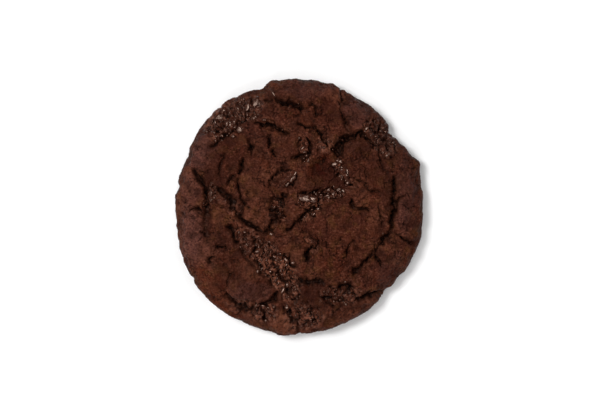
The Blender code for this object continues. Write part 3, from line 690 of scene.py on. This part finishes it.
pore_shade = PORE_SHADE * bare * np.clip(-crumb - PORE_DEPTH, 0, 1)
hollow_shade = oval_cover(torn_x, torn_y, SHADED_HOLLOWS)
# Low spots, in the crust's grain and between crumb blocks, get painted shade
low = np.clip(LOW_ON_LEVEL - LOW_BY_GRAIN * crust_grain - LOW_BY_CRUMB * bare * crumb, 0, 1)
fields = {
    "base": np.clip(1 - z / BASE_FADE, 0, 1),
    # Painted shade: darker with a split's depth, on hairlines, in pores and in deep hollows
    "split": np.clip(split / DARKEST_DEPTH + HAIR_SHADE * hair + pore_shade + hollow_shade, 0, 1),
    "torn": bare,
    "sheen": oval_cover(torn_x, torn_y, SHEEN_GROUND) * (1 - bare),
    "warm_and_lit": oval_cover(torn_x, torn_y, WARM_AND_LIT_GROUND),
    "red": oval_cover(torn_x, torn_y, RED_GROUND) * (1 - RED_LOST * bare),
    "darker_and_shaded": oval_cover(torn_x, torn_y, DARKER_AND_SHADED_GROUND),
    "low": low,
}
for name, values in fields.items():
    field = cookie_mesh.attributes.new(name, "FLOAT", "POINT")
    field.data.foreach_set("value", values if name == "base" else values * fade)
cookie_mesh.shade_smooth()
cookie = bpy.data.objects.new("cookie_body", cookie_mesh)
bpy.context.scene.collection.objects.link(cookie)
fewer = cookie.modifiers.new("Fewer faces where it is smooth", "DECIMATE")
fewer.ratio = min(1, KEPT_TRIANGLES / (2 * len(cookie_mesh.polygons)))
thinned = cookie.evaluated_get(bpy.context.evaluated_depsgraph_get())
cookie_mesh = bpy.data.meshes.new_from_object(thinned)
cookie_mesh.name = "cookie_body"
cookie.modifiers.clear()
cookie.data = cookie_mesh


def linear(hex_colour):
    """An sRGB hex colour as linear RGBA."""
    channels = [int(hex_colour[i : i + 2], 16) / 255 for i in (1, 3, 5)]
    return [
        c / 12.92 if c <= 0.04045 else ((c + 0.055) / 1.055) ** 2.4 for c in channels
    ] + [1.0]


def add_node(tree, kind, settings=None, inputs=None):
    """A new shader node with its settings, and its inputs set to values or linked."""
    made = tree.nodes.new(kind)
    for name, value in (settings or {}).items():
        setattr(made, name, value)
    for name, value in (inputs or {}).items():
        if isinstance(value, bpy.types.NodeSocket):
            tree.links.new(value, made.inputs[name])
        else:
            made.inputs[name].default_value = value
    return made


# Baked cocoa crust: dry, grainy and almost matt, because the sugar and cocoa on it are porous.
# It is darker and wet where it tore, and smoother on the rim, where a faint sheen is also
# painted into its colour.
crust = bpy.data.materials.new("Baked cocoa crust")
crust.use_nodes = True
tree = crust.node_tree
shader = tree.nodes["Principled BSDF"]
where = add_node(tree, "ShaderNodeTexCoord").outputs["Object"]


def grains(size_mm, detail=2.0, roughness=0.5):
    """Noise whose lumps are about that many millimetres."""
    inputs = {"Vector": where, "Scale": 1 / (size_mm * MM), "Detail": detail}
    inputs["Roughness"] = roughness
    return add_node(tree, "ShaderNodeTexNoise", inputs=inputs).outputs["Fac"]


def ranged(value, low, high, out_low=0.0, out_high=1.0):
    """The value brought from one range to another, and held inside it."""
    inputs = {"Value": value, "From Min": low, "From Max": high}
    inputs |= {"To Min": out_low, "To Max": out_high}
    return add_node(tree, "ShaderNodeMapRange", inputs=inputs).outputs["Result"]


def mixed(share, first, second):
    """Two colours mixed by a share: all of the first at 0, all of the second at 1."""
    settings = {"data_type": "RGBA"}
    first = linear(first) if isinstance(first, str) else first
    second = linear(second) if isinstance(second, str) else second
    inputs = {0: share, 6: first, 7: second}
    return add_node(tree, "ShaderNodeMix", settings, inputs).outputs[2]


def field_of(name):
    """One of the fields that were stored on the mesh above."""
    return add_node(tree, "ShaderNodeAttribute", {"attribute_name": name}).outputs["Fac"]


def worked(operation, first, second):
    """Two values put together by a maths operation."""
    settings = {"operation": operation}
    return add_node(tree, "ShaderNodeMath", settings, {0: first, 1: second}).outputs[0]


split_shade_field = field_of("split")
torn_field = field_of("torn")
sheen_field = field_of("sheen")
low_shade_field = field_of("low")
mottle = ranged(grains(7.0, 3.0), 0.35, 0.65)
patch = ranged(grains(2.2, 3.0, 0.6), 0.3, 0.7)
facet = ranged(grains(1.2, 2.0), 0.38, 0.6)
speck = grains(0.7, 2.0, 0.7)

# Mottled brown, with redder clouds and flecks, then ochre patches and darker ones
tone = mixed(mottle, "#402017", "#532e20")
cloud = ranged(grains(4.0, 2.0), 0.42, 0.66, 0.0, 0.4)
stipple = ranged(grains(1.3, 2.0), 0.5, 0.62, 0.0, 0.5)
redness = worked("MAXIMUM", field_of("red"), worked("MAXIMUM", cloud, stipple))
tone = mixed(redness, tone, mixed(mottle, "#471a0c", "#57230f"))
tone = mixed(ranged(grains(3.4, 2.0), 0.52, 0.66, 0.0, 0.75), tone, "#4d2d14")
tone = mixed(worked("MULTIPLY", patch, 0.5), tone, "#38180e")

# Places that browned warmer or have painted light, a painted purple-grey sheen, and over all of
# it dark pits and pale flecks
tone = mixed(worked("MULTIPLY", field_of("warm_and_lit"), 0.5), tone, "#6a3c2a")
tone = mixed(worked("MULTIPLY", sheen_field, 0.6), tone, "#56332d")
tone = mixed(ranged(speck, 0.53, 0.68, 0.0, 0.85), tone, "#1e0a05")
tone = mixed(ranged(speck, 0.46, 0.3, 0.0, 0.6), tone, "#744637")

# Low spots get painted shade and torn crumb is browner; some ground baked darker and some has
# painted shade on faces turned from the light, a little stayed deep red, and the underside is
# evenly dark
tone = mixed(ranged(low_shade_field, 0.35, 1.0, 0.0, 0.8), tone, "#1d0a05")
tone = mixed(worked("MULTIPLY", torn_field, 0.5), tone, "#4e271b")
darker_and_shaded = worked("MULTIPLY", field_of("darker_and_shaded"), 0.5)
tone = mixed(darker_and_shaded, tone, "#2a1009")
tone = mixed(ranged(field_of("red"), 1.0, 1.4, 0.0, 0.7), tone, "#3c0e05")
underside = mixed(mottle, "#2a140c", "#412418")
tone = mixed(worked("MULTIPLY", field_of("base"), 0.6), tone, underside)

# Shade is painted into splits, hairlines, pores and deep hollows, almost black at its darkest,
# with a few crumbs of brown left in it
painted_split_shade = ranged(split_shade_field, 0.05, 0.8, 0.0, 0.92)
painted_split_shade = worked("MULTIPLY", painted_split_shade, ranged(grains(1.2, 2.0), 0.6, 0.45, 0.7, 1.0))
tone = mixed(painted_split_shade, tone, "#0c0402")
tree.links.new(tone, shader.inputs["Base Color"])

# Almost matt, smoother where it has a sheen, with a coarse and a fine grain in its skin
matt = ranged(sheen_field, 0.0, 1.0, 0.62, 0.45)
tree.links.new(matt, shader.inputs["Roughness"])
shader.inputs["IOR"].default_value = 1.45
shader.inputs["Specular IOR Level"].default_value = 0.06
coarse = add_node(
    tree,
    "ShaderNodeBump",
    inputs={"Strength": 1.0, "Distance": 0.62 * MM, "Height": grains(1.1, 3.0, 0.6)},
)
fine = add_node(
    tree,
    "ShaderNodeBump",
    inputs={
        "Strength": 1.0,
        "Distance": 0.3 * MM,
        "Height": speck,
        "Normal": coarse.outputs["Normal"],
    },
)
tree.links.new(fine.outputs["Normal"], shader.inputs["Normal"])

# Where it tore, sugar syrup and cocoa butter wet the crumb in patches
damp = mixed(facet, "#34140c", "#7a4836")
# The wet crumb takes the same warm tone and painted light
damp = mixed(worked("MULTIPLY", field_of("warm_and_lit"), 0.6), damp, "#804e3a")
# Its colour carries the same painted shade in splits and on shaded ground
wet = add_node(
    tree,
    "ShaderNodeBsdfPrincipled",
    inputs={
        "Base Color": mixed(painted_split_shade, mixed(darker_and_shaded, damp, "#200b06"), "#0c0402"),
        "Roughness": 0.28,
        "IOR": 1.47,
        "Specular Tint": linear("#e8c8b6"),
        "Normal": coarse.outputs["Normal"],
    },
)
wetness = worked("MULTIPLY", torn_field, ranged(grains(2.2, 2.0), 0.34, 0.5))
wetness = worked("MULTIPLY", wetness, ranged(painted_split_shade, 0.3, 0.9, 1.0, 0.3))
blend = add_node(
    tree,
    "ShaderNodeMixShader",
    inputs={0: wetness, 1: shader.outputs["BSDF"], 2: wet.outputs["BSDF"]},
)
tree.links.new(blend.outputs["Shader"], tree.nodes["Material Output"].inputs["Surface"])
cookie_mesh.materials.append(crust)
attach(cookie, "root")
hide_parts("cookie")

# Melted chocolate
# Chips that melted and smeared in the tears, and set again with a smooth skin. Their lower
# halves are rooted in the crumb, and their flat tops catch the light as small white glints.

# Smears: centre, half length, half breadth, turn
SMEARS = (
    ((-27.9, 30.8), 1.7, 1.3, 20),
    ((-26.2, 33.6), 1.0, 0.9, 60),
    ((-17.9, 34.6), 1.9, 0.9, 80),
    ((-14.8, 35.3), 2.6, 1.4, 95),
    ((-9.3, 39.1), 1.5, 0.5, -55),
    ((-20.4, 26.7), 1.4, 1.3, 30),
    ((-24.5, 28.7), 1.5, 1.3, 0),
    ((-22.4, 29.4), 1.2, 0.8, 70),
    ((-22.8, 24.3), 0.8, 0.6, 10),
    ((-15.9, 30.5), 0.9, 0.9, 0),
    ((-12.1, 29.8), 0.8, 0.6, 20),
    ((1.6, 3.0), 2.3, 1.4, -15),
    ((4.0, 2.7), 2.3, 1.4, 5),
    ((5.2, 2.2), 1.0, 0.7, 80),
    ((11.7, 14.9), 1.3, 1.1, 0),
    ((12.8, 16.0), 1.0, 0.9, 40),
    ((13.8, 15.6), 0.9, 0.7, -30),
    ((14.1, 13.6), 0.9, 0.8, 90),
    ((16.2, 11.8), 2.3, 1.4, 80),
    ((16.2, 8.7), 1.1, 0.9, 60),
    ((14.8, 5.6), 0.9, 0.7, 0),
    ((13.1, 6.3), 1.0, 0.9, 30),
    ((11.4, 4.6), 1.1, 0.9, 10),
    ((9.7, 6.0), 0.9, 0.7, 0),
    ((9.3, 3.9), 0.9, 0.7, 20),
    ((22.8, 27.0), 0.9, 0.7, 40),
    ((30.0, 18.0), 1.5, 1.0, 30),
    ((0.9, 20.2), 1.5, 0.5, 35),
    ((2.1, 17.7), 0.9, 0.6, 0),
    ((2.8, 16.0), 1.0, 0.8, 60),
    ((-1.6, 11.6), 1.2, 0.6, 60),
    ((-2.6, 9.7), 1.4, 0.8, 40),
    ((-4.5, 7.7), 1.5, 0.6, 45),
    ((6.2, -0.6), 1.3, 0.8, 60),
    ((4.8, -2.2), 1.1, 0.5, 45),
    ((-30.4, 4.9), 0.8, 0.7, 90),
    ((-30.4, 2.5), 1.0, 0.9, 60),
    ((-9.7, -9.2), 1.1, 0.8, 0),
    ((-14.5, -22.0), 0.9, 0.6, 60),
    ((-14.5, -15.1), 0.9, 0.6, 0),
    ((-4.8, -18.0), 1.4, 0.7, -50),
    ((-2.4, -18.9), 1.0, 0.7, 0),
    ((-7.2, -15.8), 1.1, 0.9, 20),
    ((-5.9, -28.5), 1.5, 0.7, 60),
    ((-4.5, -34.1), 1.1, 0.9, 80),
    ((-12.8, -33.7), 0.8, 0.5, 0),
    ((-11.7, -38.9), 0.9, 0.6, 30),
    ((15.5, -25.4), 0.8, 0.5, 20),
    ((12.1, -29.6), 0.7, 0.5, 40),
    ((13.8, -31.6), 0.6, 0.4, 0),
    ((28.3, -8.9), 0.7, 0.5, 70),
    ((-4.5, -26.5), 1.2, 0.9, 20),
)

# How thick they stand, how far their middle is above the ground, how long their dents are
SMEAR_THICKNESS = 0.25
SMEAR_RISE = 0.1
SMEAR_NOISE = 0.7

# How many times deeper a smear's lower half reaches than its upper half stands up
ROOT_STRETCH = 4

# The way that the shining tops lean: bearing, slope, and how many times as far the bearing
# strays as the slope
SMEAR_LEAN = (155, 14)
BEARING_STRAY = 3

# How uneven the listed smears are, and how finely they are cut up
LISTED_FORM = (0.4, 3)

# Small smears strewn over all torn ground: spacing, range of half lengths, breadth as a
# share of length, how far their lean strays in degrees, unevenness and fineness
STREWN_SPACING = 1.7
STREWN_SIZES = (0.4, 0.9)
STREWN_BREADTH = 0.6
STREWN_STRAY = 14
STREWN_FORM = (0.5, 2)

# One is laid where the ground is barer than a share drawn from this range
STREWN_BARENESS = (0.4, 1.2)


def ground_below(surface, x, y):
    """The point of the surface straight below a place in millimetres, or None."""
    above = Vector(((x - MIDDLE[0]) * MM, (y - MIDDLE[1]) * MM, 1.0))
    return surface.ray_cast(above, Vector((0, 0, -1)))[0]


def add_lump(lumps, matrix, subdivisions, unevenness):
    """Adds a ball with a deeper lower half, brought to its place by the matrix, and makes
    its surface uneven."""
    one = bmesh.new()
    bmesh.ops.create_icosphere(one, subdivisions=subdivisions, radius=1.0)
    for vert in one.verts:
        vert.co.z *= ROOT_STRETCH if vert.co.z < 0 else 1
    bmesh.ops.transform(one, matrix=matrix, verts=one.verts)
    for vert in one.verts:
        uneven = noise.noise(vert.co / (SMEAR_NOISE * MM))
        vert.co += unevenness * uneven * (vert.co - matrix.translation)
    made = bpy.data.meshes.new("lump")
    one.to_mesh(made)
    one.free()
    lumps.from_mesh(made)
    bpy.data.meshes.remove(made)


body = bmesh.new()
body.from_mesh(cookie_mesh)
surface = BVHTree.FromBMesh(body)
body.free()
chance = random.Random(7)
chocolate = bmesh.new()


def add_smear(x, y, half_length, half_breadth, turn, stray, unevenness, subdivisions):
    """Adds one smear, unless its place is off the cookie's top."""
    ground = ground_below(surface, x, y)
    if ground is None or ground.z < BELLY_HEIGHT * MM:
        return
    aside = chance.uniform(-BEARING_STRAY, BEARING_STRAY) * stray
    bearing = math.radians(SMEAR_LEAN[0] + aside)
    slope = math.radians(SMEAR_LEAN[1] + chance.uniform(-1, 1) * stray)
    lean_axis = Vector((-math.sin(bearing), math.cos(bearing), 0))
    matrix = Matrix.Translation(ground + Vector((0, 0, SMEAR_RISE * MM)))
    matrix @= Matrix.Rotation(slope, 4, lean_axis)
    matrix @= Matrix.Rotation(math.radians(turn), 4, "Z")
    matrix @= Matrix.Diagonal((half_length * MM, half_breadth * MM, SMEAR_THICKNESS * MM, 1))
    add_lump(chocolate, matrix, subdivisions, unevenness)


for (x, y), half_length, half_breadth, turn in SMEARS:
    add_smear(x, y, half_length, half_breadth, turn, 0, *LISTED_FORM)
for x in np.arange(-HALF_WIDTH, HALF_WIDTH, STREWN_SPACING):
    for y in np.arange(-HALF_LENGTH, HALF_LENGTH, STREWN_SPACING):
        spot = np.array([[x], [y]]) + STREWN_SPACING * chance.uniform(-0.5, 0.5)
        half_length = chance.uniform(*STREWN_SIZES)
        if torn_share(*wandered(*spot))[0] > chance.uniform(*STREWN_BARENESS):
            turn = chance.uniform(0, 180)
            half_breadth = STREWN_BREADTH * half_length
            add_smear(*spot[:, 0], half_length, half_breadth, turn, STREWN_STRAY, *STREWN_FORM)
chocolate_mesh = bpy.data.meshes.new("melted_chocolate")
chocolate.to_mesh(chocolate_mesh)
chocolate.free()
chocolate_mesh.shade_smooth()
melted = bpy.data.objects.new("melted_chocolate", chocolate_mesh)
bpy.context.scene.collection.objects.link(melted)

# Set chocolate: nearly black-brown with a smooth, slightly greasy skin
set_chocolate = bpy.data.materials.new("Set chocolate")
set_chocolate.use_nodes = True
tree = set_chocolate.node_tree
shader = tree.nodes["Principled BSDF"]
where = add_node(tree, "ShaderNodeTexCoord").outputs["Object"]
tone = mixed(grains(0.8, 2.0), "#24100a", "#3a1c12")
tree.links.new(tone, shader.inputs["Base Color"])
tree.links.new(ranged(grains(2.5), 0.35, 0.65, 0.14, 0.28), shader.inputs["Roughness"])
shader.inputs["IOR"].default_value = 1.47
shader.inputs["Specular Tint"].default_value = linear("#e8c8b6")
wrinkles = add_node(
    tree,
    "ShaderNodeBump",
    inputs={"Strength": 1.0, "Distance": 0.06 * MM, "Height": grains(0.7, 2.0)},
)
tree.links.new(wrinkles.outputs["Normal"], shader.inputs["Normal"])
chocolate_mesh.materials.append(set_chocolate)
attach(melted, "root")

# Table
# A plain white sheet of coated board that the cookie lies on, lit evenly up to its edges.

# Its width in metres, and how far in millimetres it lies under the cookie's base, so that
# the two faces don't flicker through each other
FLOOR_WIDTH = 1.2
FLOOR_GAP = 0.02

sheet = bmesh.new()
bmesh.ops.create_grid(sheet, x_segments=1, y_segments=1, size=FLOOR_WIDTH / 2)
bmesh.ops.translate(sheet, verts=sheet.verts, vec=(0, 0, -FLOOR_GAP * MM))
floor_mesh = bpy.data.meshes.new("floor")
sheet.to_mesh(floor_mesh)
sheet.free()
floor = bpy.data.objects.new("floor", floor_mesh)
bpy.context.scene.collection.objects.link(floor)
board = bpy.data.materials.new("White coated board")
board.use_nodes = True
tree = board.node_tree
shader = tree.nodes["Principled BSDF"]
where = add_node(tree, "ShaderNodeTexCoord").outputs["Object"]
tone = mixed(grains(40.0), "#f7f7f7", "#fafafa")
tree.links.new(tone, shader.inputs["Base Color"])
shader.inputs["Roughness"].default_value = 0.7
shader.inputs["Specular IOR Level"].default_value = 0.2
floor_mesh.materials.append(board)

# Light and camera
# A soft studio: one large soft box high on the left and a little behind, weaker boxes on
# the other sides, and a faint white from all round.

SKY_STRENGTH = 0.10

# Soft boxes: name, bearing, elevation, width and distance in metres, watts, whether it
# shows as a glint
SOFT_BOXES = (
    ("key", 155, 62, 0.24, 0.80, 3.7, True),
    ("key_wide", 165, 62, 0.60, 0.80, 1.7, True),
    ("fill_north", 70, 40, 0.50, 0.80, 1.6, False),
    ("fill_east", -20, 40, 0.50, 0.80, 1.3, False),
    ("fill_south", 250, 45, 0.50, 0.80, 1.9, False),
)

# The camera's height in metres, and the place that it looks straight down on
CAMERA_HEIGHT = 0.570
PICTURE_MIDDLE = (-1.725, 2.52)

world = bpy.data.worlds.new("studio")
world.use_nodes = True
sky = world.node_tree.nodes["Background"]
sky.inputs["Color"].default_value = (1.0, 1.0, 1.0, 1.0)
sky.inputs["Strength"].default_value = SKY_STRENGTH
bpy.context.scene.world = world

for name, bearing, elevation, width, distance, watts, glints in SOFT_BOXES:
    box = bpy.data.lights.new(name, "AREA")
    box.shape = "SQUARE"
    box.size = width
    box.energy = watts
    lamp = bpy.data.objects.new(name, box)
    bpy.context.scene.collection.objects.link(lamp)
    aim, rise = math.radians(bearing), math.radians(elevation)
    towards = (
        math.cos(rise) * math.cos(aim),
        math.cos(rise) * math.sin(aim),
        math.sin(rise),
    )
    lamp.location = distance * Vector(towards)
    lamp.rotation_euler = (-lamp.location).to_track_quat("-Z", "Y").to_euler()
    lamp.visible_glossy = glints

lens = bpy.data.cameras.new("camera")
lens.lens = 100
lens.sensor_width = 36
camera = bpy.data.objects.new("camera", lens)
bpy.context.scene.collection.objects.link(camera)
camera.location = (
    (PICTURE_MIDDLE[0] - MIDDLE[0]) * MM,
    (PICTURE_MIDDLE[1] - MIDDLE[1]) * MM,
    CAMERA_HEIGHT,
)
bpy.context.scene.camera = camera
bpy.context.scene.view_settings.view_transform = "Standard"
